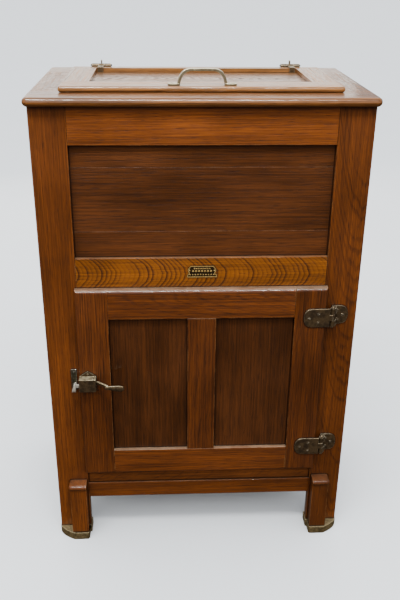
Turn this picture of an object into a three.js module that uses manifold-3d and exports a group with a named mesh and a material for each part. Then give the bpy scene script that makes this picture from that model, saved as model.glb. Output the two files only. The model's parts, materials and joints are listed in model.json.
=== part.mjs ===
// A lift-lid oak icebox: ice chamber under the lid in the top, food chamber behind the front door.
// Millimetres, +Z up, the front faces -Y. The origin is on the floor, under the middle of the whole.
import * as THREE from 'three';
import * as BufferGeometryUtils from 'three/addons/utils/BufferGeometryUtils.js';
import Module from 'manifold-3d';

const wasm = await Module();
wasm.setup();

// ---- driving dimensions; depths (y) are measured back from the front face of the face frame ----
const GAP = 0.3;             // clearance between neighbouring pieces
const CASE_W = 670;          // across the front stiles
const CASE_D = 400;          // face frame to the back edge of the side frames
const STOCK = 22;            // thickness of the case frames
const STILE_W = 72;          // front stiles, seen from the front
const TOP_Z = 1041;          // upper surface of the top frame
const TOP_T = 18;
const TOP_W = 684;
const TOP_FRONT = -18;       // front edge of the top, ahead of the face frame
const TOP_BACK = 403;
const TOP_CORNER_R = 12;
const TOP_RAIL_Z = 948;      // lower edge of the front top rail
const MID_RAIL_Z = [636, 713.5];
const BASE_RAIL_Z = [104, 143.5];
const PANEL_SET_BACK = 10;
const PANEL_T = 8;
const GROOVE = 6;            // how far a panel runs into its frame

const FOOT_FLOOR = 3;        // sheet metal under the front feet
const SHOE_H = 19;
const SHOE_WALL = 1.4;
const BLOCK = { in: 267, out: 305, front: -26, top: 155, nose: 6.5, lip: 4 };

const JAMB = { front: 5, back: 44, halfW: 243, bottom: 214, top: 618 };
const INNER_HALF_W = 312.7;  // between the side frames
const SIDE_STILE_W = 58;
const SIDE_RAIL_Z = [104, 170, 650, 720, 955];   // edges of the three side rails, the top one open
const BACK_BOARD = [384, 396];
const BACK_FOOT_Z = 12;      // lower ends of the back boards
const BACK_COUNT = 5;
const BACK_SEAM = 2.5;       // depth of the V between two back boards
const FLOOR_BOARD = [104, 122];

const LINER_T = 1.5;
const LINER_HALF_W = 257;
const LINER_BACK = 340;
const ICE_FRONT = 52;
const ICE_FLOOR = 716;
const FOOD_Z = [150, 705];
const SHELF_Z = [333.3, 483.3];
const SHELF = { front: 62, back: 304, rim: 5, wire: 1.6, wires: 13, play: 3 };
const LEDGE = { reach: 8, t: 3, front: 60, back: 310 };     // carries a shelf along each side
const RACK = { slats: 8, pitch: 30, slatW: 16, slatT: 6, halfW: 215, front: 70, back: 302,
  runnerX: 190, runnerW: 16, runnerH: 10 };
const SLOT = { in: 225, out: 245, front: 90, back: 300 };   // cold air drops through these
const DRAIN = { x: 0, y: 322, r: 9.5, wall: 1.5, foot: 82, flange: 16 };
const TRAP = { base: 62, r: 22, flange: 34, wall: 1.5, flangeT: 2, slot: 14, slotTop: 6, slotH: 10 };

const LID_HALF_W = 280.5;
const LID_FRONT = 42;
const LID_BACK = 331;
const LID_TOP = 1052.5;
const LID_STILE_W = 55.5;
const LID_FRONT_RAIL_W = 64;
const LID_BACK_RAIL_W = 28;
const LID_PANEL_TOP = 1043.5;
const LID_UNDER = 1034.5;    // underside of the part of the lid frame that drops into the opening
const PLUG_BOTTOM = 1006;
const OPENING = { halfW: 258, front: 64, back: 318 };
const PLUG = { halfW: 251, front: 71, back: 312 };
const LID_AXIS = { y: 336, z: 1054.5, r: 3.7 };
const LID_HINGE = { x: 216, half: 21, eye: 7, leafT: 2.2, bore: 1.9, footHalfW: 18, foot: 34,
  strapHalfW: 6, stopT: 2.6, stopReach: 15, stopRise: 10 };
const HANDLE = { halfW: 50, foot: 6, crown: 1084, strap: 4.5, y: [57, 71], ear: 68, earY: [53, 75],
  earT: 3.2 };

const DOOR_HALF_W = 267;
const DOOR_Z = [182, 648];
const DOOR_T = 17;
const DOOR_BACK = -0.8;
const DOOR_FRONT = DOOR_BACK - DOOR_T;
const DOOR_EDGE_R = 8;
const DOOR_STILE_W = 68.5;
const DOOR_RAIL_W = 66;
const MUNTIN_HALF_W = 30.5;
const DOOR_PLUG = { halfW: 238, bottom: 219, top: 613, back: 36 };
const DOOR_AXIS = { x: 281, y: -14, r: 5.5 };
const DOOR_HINGE_Z = [250, 580];
const LEAF_T = 2.8;
const LEAF_H = 43;
const LEAF_TIPS = { door: 218, case: 316.5 };   // the rounded ends of the hinge leaves
const HINGE_EYE = 7;         // half the height of the door leaf's knuckle
const HINGE_PIN_R = 2.3;

const LATCH = { left: -266, right: -230, bottom: 417, top: 446.5, front: -38, peak: 458.5, plateT: 2.4,
  skirt: 6, roomZ: [421, 442], mouthZ: [430.5, 440.5], wall: 4, cover: 1.3 };
const LATCH_AXIS = { x: -237.5, y: -29 };
const LEVER_FRONT = -54;     // the grip's furthest reach ahead of the face frame
const LEVER = { hubR: 5, hubZ: [421.5, 441.5], grip: 42, flat: 0.55, droop: 0.1 };
const BOLT = { left: -273.2, right: -257.5, y: [-32, -27], z: [425, 432] };
const STRIKE = { left: -286, right: -274.6, t: 2.5, z: [404, 453.5], hookX: -284.2, hookW: 9.5 };
const BADGE = { halfW: 31, z: [670.5, 695.5], t: 1.2 };

// The middle of the whole depth, from the grip of the latch to the back of the top.
const FACE_Y = -(TOP_BACK + LEVER_FRONT) / 2;

// ---- colours and finishes ----
const FINISH = {
  oak: ['#7a4318', 0.38, 0],
  dark_oak: ['#4c2711', 0.42, 0],
  golden_oak: ['#94591f', 0.38, 0],
  pine: ['#9a7448', 0.7, 0],
  zinc: ['#a7aaa9', 0.5, 0.85],
  bronze: ['#43382a', 0.45, 0.8],
  brass: ['#a98c50', 0.4, 0.85],
  steel: ['#b9b7b2', 0.3, 0.9],
  insulation: ['#6d5a44', 0.95, 0],
};

// ---- helpers ----
function toSolid(geometry) {
  const plain = geometry.clone();
  plain.deleteAttribute('normal');
  plain.deleteAttribute('uv');
  const merged = BufferGeometryUtils.mergeVertices(plain, 1e-4);
  return new wasm.Manifold(new wasm.Mesh({
    numProp: 3,
    vertProperties: Float32Array.from(merged.attributes.position.array),
    triVerts: Uint32Array.from(merged.index.array),
  }));
}

function toGeometry(solid) {
  const mesh = solid.getMesh();
  const geometry = new THREE.BufferGeometry();
  const points = Float32Array.from(mesh.vertProperties);
  geometry.setAttribute('position', new THREE.BufferAttribute(points, 3));
  geometry.setIndex(Array.from(mesh.triVerts));
  geometry.computeVertexNormals();
  return geometry;
}

function join(first, ...others) {
  return toGeometry(others.reduce((sum, other) => sum.add(toSolid(other)), toSolid(first)));
}

function cut(first, ...tools) {
  return toGeometry(tools.reduce((rest, tool) => rest.subtract(toSolid(tool)), toSolid(first)));
}

function common(first, second) {
  return toGeometry(toSolid(first).intersect(toSolid(second)));
}

// A box between two limits on each axis, given in any order.
function box([xa, xb], [ya, yb], [za, zb]) {
  const geometry = new THREE.BoxGeometry(Math.abs(xb - xa), Math.abs(yb - ya), Math.abs(zb - za));
  return geometry.translate((xa + xb) / 2, (ya + yb) / 2, (za + zb) / 2);
}

function rodZ(x, y, radius, z0, z1, sides = 24) {
  const geometry = new THREE.CylinderGeometry(radius, radius, z1 - z0, sides).rotateX(Math.PI / 2);
  return geometry.translate(x, y, (z0 + z1) / 2);
}

function rodX(y, z, radius, x0, x1, sides = 20) {
  const geometry = new THREE.CylinderGeometry(radius, radius, x1 - x0, sides).rotateZ(Math.PI / 2);
  return geometry.translate((x0 + x1) / 2, y, z);
}

function roundedRectangle(x0, x1, y0, y1, radius) {
  const shape = new THREE.Shape();
  shape.absarc(x1 - radius, y0 + radius, radius, -Math.PI / 2, 0);
  shape.absarc(x1 - radius, y1 - radius, radius, 0, Math.PI / 2);
  shape.absarc(x0 + radius, y1 - radius, radius, Math.PI / 2, Math.PI);
  shape.absarc(x0 + radius, y0 + radius, radius, Math.PI, Math.PI * 1.5);
  shape.closePath();
  return shape;
}

// A slab lying flat, with a plan outline, whose edges are rounded over top and bottom.
function nosedSlab(shape, z0, z1, reach = (z1 - z0) / 2) {
  const core = 0.02;         // what is left of the upright edge between the two rounds
  const round = (z1 - z0 - core) / 2;
  const geometry = new THREE.ExtrudeGeometry(shape, {
    depth: core, steps: 1, curveSegments: 5, bevelEnabled: true, bevelSegments: 4,
    bevelThickness: round, bevelSize: reach, bevelOffset: -reach,
  });
  return geometry.translate(0, 0, z0 + round);
}

// An outline drawn on the front (x across, z up), standing forward from y = back to y = front.
function frontPlate(shape, back, front, curveSegments = 10) {
  const geometry = new THREE.ExtrudeGeometry(shape, {
    depth: back - front, steps: 1, curveSegments, bevelEnabled: false,
  });
  return geometry.rotateX(Math.PI / 2).translate(0, back, 0);
}

const icebox = new THREE.Group();
icebox.position.y = FACE_Y;

function add(name, finish, geometry) {
  const [colour, roughness, metalness] = FINISH[finish];
  const material = new THREE.MeshStandardMaterial({ color: colour, roughness, metalness });
  const mesh = new THREE.Mesh(geometry, material);
  mesh.name = name;
  icebox.add(mesh);
}

const SIDES = [['left', -1], ['right', 1]];

// ---- face frame ----
const frameTop = TOP_Z - TOP_T - GAP;
const stileIn = CASE_W / 2 - STILE_W;

// The groove that a front panel's edges run in.
function frontGroove(z0, z1) {
  const front = PANEL_SET_BACK - GAP;
  const back = PANEL_SET_BACK + PANEL_T + GAP;
  return box([-stileIn - GROOVE, stileIn + GROOVE], [front, back], [z0 - GROOVE, z1 + GROOVE]);
}

function faceFrame() {
  const groove = frontGroove(MID_RAIL_Z[1], TOP_RAIL_Z);
  const railX = [-stileIn + GAP, stileIn - GAP];
  for (const [side, s] of SIDES) {
    const stile = box([s * stileIn, s * CASE_W / 2], [0, STOCK], [FOOT_FLOOR + GAP, frameTop]);
    add(`front_stile_${side}`, 'oak', cut(stile, groove));
  }
  add('front_top_rail', 'oak', cut(box(railX, [0, STOCK], [TOP_RAIL_Z, frameTop]), groove));
  add('front_mid_rail', 'golden_oak', cut(box(railX, [0, STOCK], MID_RAIL_Z), groove));
  add('front_base_rail', 'oak', box(railX, [0, STOCK], BASE_RAIL_Z));
  const reach = stileIn + GROOVE - GAP;
  const panelZ = [MID_RAIL_Z[1] - GROOVE + GAP, TOP_RAIL_Z + GROOVE - GAP];
  const panelY = [PANEL_SET_BACK, PANEL_SET_BACK + PANEL_T];
  add('front_upper_panel', 'dark_oak', box([-reach, reach], panelY, panelZ));
}

// The rebated frame that the door shuts into; its sill shows below the door.
function doorJamb() {
  const outer = box([-stileIn + GAP, stileIn - GAP], [JAMB.front, JAMB.back],
    [BASE_RAIL_Z[1] + GAP, MID_RAIL_Z[0] - GAP]);
  const through = [JAMB.front - 1, JAMB.back + 1];
  const hole = box([-JAMB.halfW, JAMB.halfW], through, [JAMB.bottom, JAMB.top]);
  add('door_jamb', 'dark_oak', cut(outer, hole));
}

// ---- sides, back and floor of the case ----
function sidePanels() {
  const out = CASE_W / 2;
  const inner = out - STOCK;
  const y0 = STOCK + GAP + SIDE_STILE_W;
  const y1 = CASE_D - SIDE_STILE_W;
  const faces = [out - PANEL_SET_BACK, out - PANEL_SET_BACK - PANEL_T];
  const [bottom, lowTop, midBottom, midTop, top] = SIDE_RAIL_Z;
  const windows = [['lower', lowTop, midBottom], ['upper', midTop, top]];
  for (const [side, s] of SIDES) {
    const cuts = [box([s * inner - s, s * out + s], [y0, y1], [-1, bottom])];
    for (const [level, z0, z1] of windows) {
      cuts.push(box([s * inner - s, s * out + s], [y0, y1], [z0, z1]));
      cuts.push(box([s * (faces[0] + GAP), s * (faces[1] - GAP)], [y0 - GROOVE, y1 + GROOVE],
        [z0 - GROOVE, z1 + GROOVE]));
      const edge = GROOVE - GAP;
      add(`side_panel_${side}_${level}`, 'oak', box([s * faces[0], s * faces[1]],
        [y0 - edge, y1 + edge], [z0 - edge, z1 + edge]));
    }
    const blank = box([s * inner, s * out], [STOCK + GAP, CASE_D], [0, frameTop]);
    const shoe = box([s * (inner - 1), s * (out + 1)], [0, STOCK + 8], [-1, SHOE_H + GAP]);
    add(`side_frame_${side}`, 'oak', cut(blank, ...cuts, shoe));
  }
}

function backBoards() {
  const pitch = 2 * INNER_HALF_W / BACK_COUNT;
  const seams = [];
  for (let i = 1; i < BACK_COUNT; i += 1) {
    const vee = new THREE.CylinderGeometry(BACK_SEAM, BACK_SEAM, 2 * frameTop, 4).rotateX(Math.PI / 2);
    seams.push(vee.translate(-INNER_HALF_W + i * pitch, BACK_BOARD[1], 0));
  }
  const sheet = box([-INNER_HALF_W, INNER_HALF_W], BACK_BOARD, [BACK_FOOT_Z, frameTop]);
  add('back_boards', 'pine', cut(sheet, ...seams));
}

function floorBoard() {
  const board = box([-INNER_HALF_W, INNER_HALF_W], [STOCK + GAP, BACK_BOARD[0] - GAP], FLOOR_BOARD);
  add('bottom_board', 'pine', cut(board, rodZ(DRAIN.x, DRAIN.y, DRAIN.r + 1, 90, 130)));
}

// ---- top frame ----
function topFrame() {
  const half = TOP_W / 2;
  const beyond = 5;
  const outline = roundedRectangle(-half, half, TOP_FRONT, TOP_BACK + 40, TOP_CORNER_R);
  const slab = nosedSlab(outline, TOP_Z - TOP_T, TOP_Z, TOP_T / 2);
  const through = [TOP_Z - TOP_T - beyond, TOP_Z + beyond];
  const squareBack = box([-half - beyond, half + beyond], [TOP_FRONT - beyond, TOP_BACK], through);
  const opening = box([-OPENING.halfW, OPENING.halfW], [OPENING.front, OPENING.back], through);
  add('top_frame', 'oak', cut(common(slab, squareBack), opening));
}

// ---- front feet ----
function footBlocks() {
  for (const [side, s] of SIDES) {
    const noseZ = [BLOCK.top - 2 * BLOCK.nose, BLOCK.top];
    const xs = [s * BLOCK.in, s * BLOCK.out];
    const post = box(xs, [-GAP, BLOCK.front], [FOOT_FLOOR + GAP, noseZ[0] + 3]);
    // The nose turns the corner on the outer side only; its plan runs on past the inner side.
    const planX = [s * (BLOCK.in - 30), s * (BLOCK.out + 3)].sort((a, b) => a - b);
    const plan = roundedRectangle(planX[0], planX[1], BLOCK.front - BLOCK.lip, 40, 8);
    const keep = box([s * BLOCK.in, s * (BLOCK.out + 20)], [-GAP, BLOCK.front - 20], [0, BLOCK.top + 5]);
    const cap = common(nosedSlab(plan, noseZ[0], noseZ[1]), keep);
    add(`foot_block_${side}`, 'oak', join(post, cap));
  }
}

// Pressed metal cups that wrap the stile and the block and cut the corner between them.
function footShoes() {
  const outX = CASE_W / 2 + SHOE_WALL + GAP;
  const inX = BLOCK.in - SHOE_WALL - GAP;
  const front = BLOCK.front - BLOCK.lip;
  const back = STOCK + 6;
  for (const [side, s] of SIDES) {
    const plan = new THREE.Shape();
    plan.moveTo(s * outX, back);
    plan.lineTo(s * outX, 2);
    plan.quadraticCurveTo(s * (outX - 6), -16, s * (BLOCK.out - 4), front);
    plan.lineTo(s * (inX + 6), front);
    plan.quadraticCurveTo(s * inX, front, s * inX, front + 8);
    plan.lineTo(s * inX, -4);
    plan.lineTo(s * (stileIn - SHOE_WALL - GAP), -4);
    plan.lineTo(s * (stileIn - SHOE_WALL - GAP), back);
    plan.closePath();
    const cup = new THREE.ExtrudeGeometry(plan, {
      depth: SHOE_H, steps: 1, curveSegments: 8, bevelEnabled: false,
    });
    const stileRoom = box([s * (stileIn - GAP), s * (CASE_W / 2 + GAP)], [-GAP, back - SHOE_WALL],
      [FOOT_FLOOR, SHOE_H + 5]);
    const blockRoom = box([s * (BLOCK.in - GAP), s * (BLOCK.out + GAP)], [5, BLOCK.front - GAP],
      [FOOT_FLOOR, SHOE_H + 5]);
    add(`foot_shoe_${side}`, 'bronze', cut(cup, stileRoom, blockRoom));
  }
}

// ---- liners, insulation and drain ----
function airSlots(z0, z1) {
  return SIDES.map(([, s]) => box([s * SLOT.in, s * SLOT.out], [SLOT.front, SLOT.back], [z0, z1]));
}

function liners() {
  const inner = LINER_HALF_W - LINER_T;
  const drainHole = rodZ(DRAIN.x, DRAIN.y, DRAIN.r + 0.5, 100, 760);
  const iceTop = frameTop - GAP;
  const iceOuter = box([-LINER_HALF_W, LINER_HALF_W], [ICE_FRONT, LINER_BACK], [ICE_FLOOR, iceTop]);
  const iceInner = box([-inner, inner], [ICE_FRONT + LINER_T, LINER_BACK - LINER_T],
    [ICE_FLOOR + LINER_T, iceTop + 5]);
  add('ice_liner', 'zinc', cut(iceOuter, iceInner, drainHole, ...airSlots(ICE_FLOOR - 5, ICE_FLOOR + 5)));

  const front = JAMB.back + GAP;
  const foodOuter = box([-LINER_HALF_W, LINER_HALF_W], [front, LINER_BACK], FOOD_Z);
  const foodInner = box([-inner, inner], [front - 5, LINER_BACK - LINER_T],
    [FOOD_Z[0] + LINER_T, FOOD_Z[1] - LINER_T]);
  const shell = cut(foodOuter, foodInner, drainHole, ...airSlots(FOOD_Z[1] - 5, FOOD_Z[1] + 5));
  const ledges = [];
  for (const z of SHELF_Z) {
    for (const [, s] of SIDES) {
      ledges.push(box([s * (inner + 1), s * (inner - LEDGE.reach)], [LEDGE.front, LEDGE.back],
        [z - GAP - LEDGE.t, z - GAP]));
    }
  }
  add('food_liner', 'zinc', join(shell, ...ledges));
}

function insulation() {
  const loose = LINER_HALF_W + GAP;
  const outer = box([-INNER_HALF_W + GAP, INNER_HALF_W - GAP], [STOCK + GAP, BACK_BOARD[0] - GAP],
    [FLOOR_BOARD[1] + GAP, frameTop - GAP]);
  const iceRoom = box([-loose, loose], [ICE_FRONT - GAP, LINER_BACK + GAP], [ICE_FLOOR - GAP, TOP_Z]);
  const foodRoom = box([-loose, loose], [JAMB.back, LINER_BACK + GAP],
    [FOOD_Z[0] - GAP, FOOD_Z[1] + GAP]);
  const jambRoom = box([-stileIn, stileIn], [STOCK - 1, JAMB.back + GAP],
    [BASE_RAIL_Z[1], MID_RAIL_Z[0]]);
  const drainHole = rodZ(DRAIN.x, DRAIN.y, DRAIN.r + 1, 100, 760);
  add('insulation_jacket', 'insulation', cut(outer, iceRoom, foodRoom, jambRoom, drainHole,
    ...airSlots(FOOD_Z[1] - 5, ICE_FLOOR + 5)));
}

// Slats across two runners keep the ice off the chamber floor.
function iceRack() {
  const floor = ICE_FLOOR + LINER_T + GAP;
  const slatZ = [floor + RACK.runnerH, floor + RACK.runnerH + RACK.slatT];
  const parts = [-RACK.runnerX, 0, RACK.runnerX].map((x) => box(
    [x - RACK.runnerW / 2, x + RACK.runnerW / 2], [RACK.front, RACK.back], [floor, slatZ[0] + 1]));
  for (let i = 0; i < RACK.slats; i += 1) {
    const y = RACK.front + 5 + i * RACK.pitch;
    parts.push(box([-RACK.halfW, RACK.halfW], [y, y + RACK.slatW], slatZ));
  }
  add('ice_rack', 'zinc', join(...parts));
}

function shelf(name, z) {
  const halfW = LINER_HALF_W - LINER_T - SHELF.play;
  const { front, back, rim } = SHELF;
  const depth = 5;
  const middle = z + depth / 2;
  const outline = roundedRectangle(-halfW, halfW, front, back, 8);
  outline.holes.push(roundedRectangle(-halfW + rim, halfW - rim, front + rim, back - rim, 4));
  const frame = new THREE.ExtrudeGeometry(outline, {
    depth, steps: 1, curveSegments: 3, bevelEnabled: false,
  });
  const wires = [];
  for (let i = 1; i <= SHELF.wires; i += 1) {
    const x = -halfW + i * 2 * halfW / (SHELF.wires + 1);
    const rod = new THREE.CylinderGeometry(SHELF.wire, SHELF.wire, back - front - 4, 6);
    wires.push(rod.translate(x, (front + back) / 2, middle));
  }
  wires.push(rodX((front + back) / 2, middle - SHELF.wire / 2, SHELF.wire, -halfW + 2, halfW - 2, 6));
  add(name, 'zinc', join(frame.translate(0, 0, z), ...wires));
}

function lathe(profile, sides) {
  return new THREE.LatheGeometry(profile.map(([r, z]) => new THREE.Vector2(r, z)), sides);
}

// A pipe from the ice chamber, and the cup under it whose water keeps warm air out.
function drain() {
  const top = ICE_FLOOR + LINER_T + GAP;
  const bore = DRAIN.r - DRAIN.wall;
  const pipe = lathe([[bore, DRAIN.foot], [DRAIN.r, DRAIN.foot], [DRAIN.r, top], [DRAIN.flange, top],
    [DRAIN.flange, top + DRAIN.wall], [bore, top + DRAIN.wall], [bore, DRAIN.foot]], 20);
  add('drain_pipe', 'zinc', pipe.rotateX(Math.PI / 2).translate(DRAIN.x, DRAIN.y, 0));

  const rim = FLOOR_BOARD[0] - GAP;
  const { base, r, flange, wall, flangeT } = TRAP;
  const cup = lathe([[0, base], [r, base], [r, rim - flangeT], [flange, rim - flangeT], [flange, rim],
    [r - wall, rim], [r - wall, base + wall], [0, base + wall]], 24).rotateX(Math.PI / 2);
  const slotZ = [rim - TRAP.slotTop - TRAP.slotH, rim - TRAP.slotTop];
  const overflow = [0, 1].map((turn) => box([-flange, flange], [-TRAP.slot / 2, TRAP.slot / 2], slotZ)
    .rotateZ(turn * Math.PI / 2));
  add('drain_trap_cup', 'zinc', cut(cup, ...overflow).translate(DRAIN.x, DRAIN.y, 0));
}

// ---- lid ----
function lidFrame() {
  const outline = roundedRectangle(-LID_HALF_W, LID_HALF_W, LID_FRONT, LID_BACK, 5);
  const under = TOP_Z + GAP;
  const lip = nosedSlab(outline, under, LID_TOP, 4.5);
  const drop = box([-PLUG.halfW, PLUG.halfW], [PLUG.front, PLUG.back], [LID_UNDER, under + 2]);
  const slab = join(lip, drop);
  const inX = LID_HALF_W - LID_STILE_W;
  const frontIn = LID_FRONT + LID_FRONT_RAIL_W;
  const backIn = LID_BACK - LID_BACK_RAIL_W;
  const groove = box([-inX - GROOVE, inX + GROOVE], [frontIn - GROOVE, backIn + GROOVE],
    [LID_PANEL_TOP - PANEL_T + 1 - GAP, LID_PANEL_TOP + GAP]);
  const all = [LID_UNDER - 5, LID_TOP + 5];
  const wide = [-LID_HALF_W - 5, LID_HALF_W + 5];
  const member = (xs, ys) => cut(common(slab, box(xs, ys, all)), groove);
  add('lid_front_rail', 'oak', member(wide, [LID_FRONT - 5, frontIn]));
  add('lid_back_rail', 'oak', member(wide, [backIn, LID_BACK + 5]));
  for (const [side, s] of SIDES) {
    const xs = [s * inX, s * (LID_HALF_W + 5)];
    add(`lid_stile_${side}`, 'oak', member(xs, [frontIn + GAP, backIn - GAP]));
  }
  const edge = GROOVE - GAP;
  add('lid_panel', 'oak', box([-inX - edge, inX + edge], [frontIn - edge, backIn + edge],
    [LID_PANEL_TOP - PANEL_T + 1, LID_PANEL_TOP]));
}

// The zinc pan under the lid, open upwards, which holds the lid's insulation.
function lidPlug() {
  const { halfW, front, back } = PLUG;
  const pan = box([-halfW, halfW], [front, back], [PLUG_BOTTOM, LID_UNDER - GAP]);
  const room = box([-halfW + LINER_T, halfW - LINER_T], [front + LINER_T, back - LINER_T],
    [PLUG_BOTTOM + LINER_T, LID_UNDER + 5]);
  add('lid_plug', 'zinc', cut(pan, room));
}

// A flat strap bent into an arch, on two ears screwed to the front rail of the lid.
function lidHandle() {
  const seat = LID_TOP + GAP;
  const { crown, strap, halfW } = HANDLE;
  const foot = halfW - HANDLE.foot;
  const arch = new THREE.Shape();
  arch.moveTo(-halfW, seat);
  arch.bezierCurveTo(-halfW + 4, seat + 22, -38, crown, -20, crown);
  arch.lineTo(20, crown);
  arch.bezierCurveTo(38, crown, halfW - 4, seat + 22, halfW, seat);
  arch.lineTo(foot, seat);
  arch.bezierCurveTo(foot - 3, seat + 18, 34, crown - strap, 19, crown - strap);
  arch.lineTo(-19, crown - strap);
  arch.bezierCurveTo(-34, crown - strap, -foot + 3, seat + 18, -foot, seat);
  arch.closePath();
  const bow = frontPlate(arch, HANDLE.y[1], HANDLE.y[0]);
  const ears = SIDES.map(([, s]) => {
    const [xa, xb] = [s * HANDLE.ear, s * foot].sort((a, b) => a - b);
    const plan = roundedRectangle(xa, xb, HANDLE.earY[0], HANDLE.earY[1], 8);
    return new THREE.ExtrudeGeometry(plan, {
      depth: HANDLE.earT, steps: 1, curveSegments: 5, bevelEnabled: false,
    }).translate(0, 0, seat);
  });
  add('lid_handle', 'brass', join(bow, ...ears));
}

// Butts with an upright stop behind the knuckle, which the opened lid leans back to.
function lidHinges() {
  for (const [side, s] of SIDES) {
    lidHinge(side, s * LID_HINGE.x);
  }
}

function lidHinge(side, x) {
  const { y, z, r } = LID_AXIS;
  const { half, eye, leafT, footHalfW, strapHalfW, stopT } = LID_HINGE;
  const bore = rodX(y, z, LID_HINGE.bore, x - 30, x + 30, 16);
  const seat = TOP_Z + GAP;
  const foot = box([x - footHalfW, x + footHalfW], [y + 2.5, y + LID_HINGE.foot], [seat, seat + leafT]);
  const riser = box([x - eye, x + eye], [y + 1, y + 4.2], [seat + 1, z]);
  const caseEye = rodX(y, z, r, x - eye, x + eye);
  const stop = box([x - stopT / 2, x + stopT / 2], [y + 4.1, y + LID_HINGE.stopReach],
    [seat + 1, z + LID_HINGE.stopRise]);
  add(`lid_hinge_${side}_case_leaf`, 'bronze', cut(join(foot, riser, caseEye, stop), bore));

  const onLid = LID_TOP + GAP;
  const leafZ = [onLid, onLid + leafT];
  const railFront = LID_BACK - LID_BACK_RAIL_W;
  const strapX = [x - strapHalfW, x + strapHalfW];
  const tie = box([x - half, x + half], [LID_BACK - 3, y - 1], leafZ);
  const strap = box(strapX, [railFront - 2.5, LID_BACK - 2], leafZ);
  const tab = box(strapX, [railFront - 2.5, railFront - GAP], [LID_PANEL_TOP + GAP, leafZ[1]]);
  const rolls = SIDES.map(([, t]) => {
    const ends = [x + t * (eye + GAP), x + t * half].sort((a, b) => a - b);
    return rodX(y, z, r, ...ends);
  });
  const gapForEye = box([x - eye - GAP, x + eye + GAP], [y - r - GAP, y + r], [onLid - 5, z + 5]);
  add(`lid_hinge_${side}_lid_leaf`, 'bronze', cut(join(tie, strap, tab, ...rolls), gapForEye, bore));

  const tip = half + GAP;
  const pin = lathe([[0, -tip - 3.5], [2.2, -tip - 1.8], [3.2, -tip], [1.6, -tip], [1.6, tip],
    [3.2, tip], [2.2, tip + 1.8], [0, tip + 3.5]], 16);
  add(`lid_hinge_${side}_pin`, 'bronze', pin.rotateZ(-Math.PI / 2).translate(x, y, z));
}

// ---- door ----
// A board standing upright whose four front edges are rounded.
function frontRounded(halfX, [z0, z1], front, back, radius) {
  const profile = (a, b) => {
    const shape = new THREE.Shape();
    shape.moveTo(a, back);
    shape.lineTo(a, front + radius);
    shape.absarc(a + radius, front + radius, radius, Math.PI, Math.PI * 1.5);
    shape.absarc(b - radius, front + radius, radius, Math.PI * 1.5, Math.PI * 2);
    shape.lineTo(b, back);
    shape.closePath();
    return shape;
  };
  const options = { steps: 1, curveSegments: 6, bevelEnabled: false };
  const upright = new THREE.ExtrudeGeometry(profile(-halfX, halfX), { depth: z1 - z0, ...options });
  const across = new THREE.ExtrudeGeometry(profile(z0, z1), { depth: 2 * halfX, ...options });
  return common(upright.translate(0, 0, z0), across.rotateY(-Math.PI / 2).translate(halfX, 0, 0));
}

function doorFrame() {
  const slab = frontRounded(DOOR_HALF_W, DOOR_Z, DOOR_FRONT, DOOR_BACK, DOOR_EDGE_R);
  const inX = DOOR_HALF_W - DOOR_STILE_W;
  const inZ = [DOOR_Z[0] + DOOR_RAIL_W, DOOR_Z[1] - DOOR_RAIL_W];
  const panelY = [DOOR_FRONT + PANEL_SET_BACK, DOOR_BACK - 1.2];
  const grooveY = [panelY[0] - GAP, panelY[1] + GAP];
  const groove = box([-inX - GROOVE, inX + GROOVE], grooveY, [inZ[0] - GROOVE, inZ[1] + GROOVE]);
  const deep = [DOOR_FRONT - 5, DOOR_BACK + 1];
  const member = (xs, zs) => cut(common(slab, box(xs, deep, zs)), groove);
  for (const [side, s] of SIDES) {
    add(`door_stile_${side}`, 'oak', member([s * inX, s * (DOOR_HALF_W + 5)], [100, 700]));
  }
  add('door_top_rail', 'oak', member([-inX + GAP, inX - GAP], [inZ[1], 700]));
  add('door_bottom_rail', 'oak', member([-inX + GAP, inX - GAP], [100, inZ[0]]));

  const m = MUNTIN_HALF_W;
  const muntin = box([-m, m], [DOOR_FRONT, DOOR_BACK], [inZ[0] + GAP, inZ[1] - GAP]);
  const sideGrooves = SIDES.map(([, s]) => box([s * (m - GROOVE), s * (m + 1)], grooveY, inZ));
  add('door_muntin', 'oak', cut(muntin, ...sideGrooves));
  const edge = GROOVE - GAP;
  for (const [side, s] of SIDES) {
    add(`door_panel_${side}`, 'dark_oak', box([s * (m - edge), s * (inX + edge)], panelY,
      [inZ[0] - edge, inZ[1] + edge]));
  }
}

// The zinc pan on the back of the door, open towards the door and bevelled to enter the jamb.
function doorLiner() {
  const taper = 4;
  const { halfW, bottom, top, back } = DOOR_PLUG;
  const shape = roundedRectangle(-halfW, halfW, bottom, top, 6);
  const pan = new THREE.ExtrudeGeometry(shape, {
    depth: back - DOOR_BACK - GAP - taper, steps: 1, curveSegments: 3, bevelEnabled: true,
    bevelSegments: 2, bevelThickness: taper, bevelSize: taper, bevelOffset: -taper,
  });
  pan.rotateX(Math.PI / 2).translate(0, back - taper, 0);
  const keep = box([-halfW - 5, halfW + 5], [DOOR_BACK + GAP, back + 5], [bottom - 5, top + 5]);
  const wall = taper + LINER_T;
  const room = box([-halfW + wall, halfW - wall], [DOOR_BACK, back - LINER_T],
    [bottom + wall, top - wall]);
  add('door_liner', 'zinc', cut(common(pan, keep), room));
}

// Half of a door hinge: a tongue-shaped leaf, from the knuckle outwards.
function leafShape(x0, x1, z) {
  const shape = new THREE.Shape();
  const half = LEAF_H / 2;
  const toward = Math.sign(x1 - x0);
  const shoulder = x1 - toward * half * 0.85;
  shape.moveTo(x0, z - half);
  shape.lineTo(shoulder, z - half);
  shape.bezierCurveTo(x1 - toward * 4, z - half, x1, z - half * 0.55, x1, z);
  shape.bezierCurveTo(x1, z + half * 0.55, x1 - toward * 4, z + half, shoulder, z + half);
  shape.lineTo(x0, z + half);
  shape.closePath();
  return shape;
}

function doorHinges() {
  doorHinge('lower', DOOR_HINGE_Z[0]);
  doorHinge('upper', DOOR_HINGE_Z[1]);
}

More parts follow.
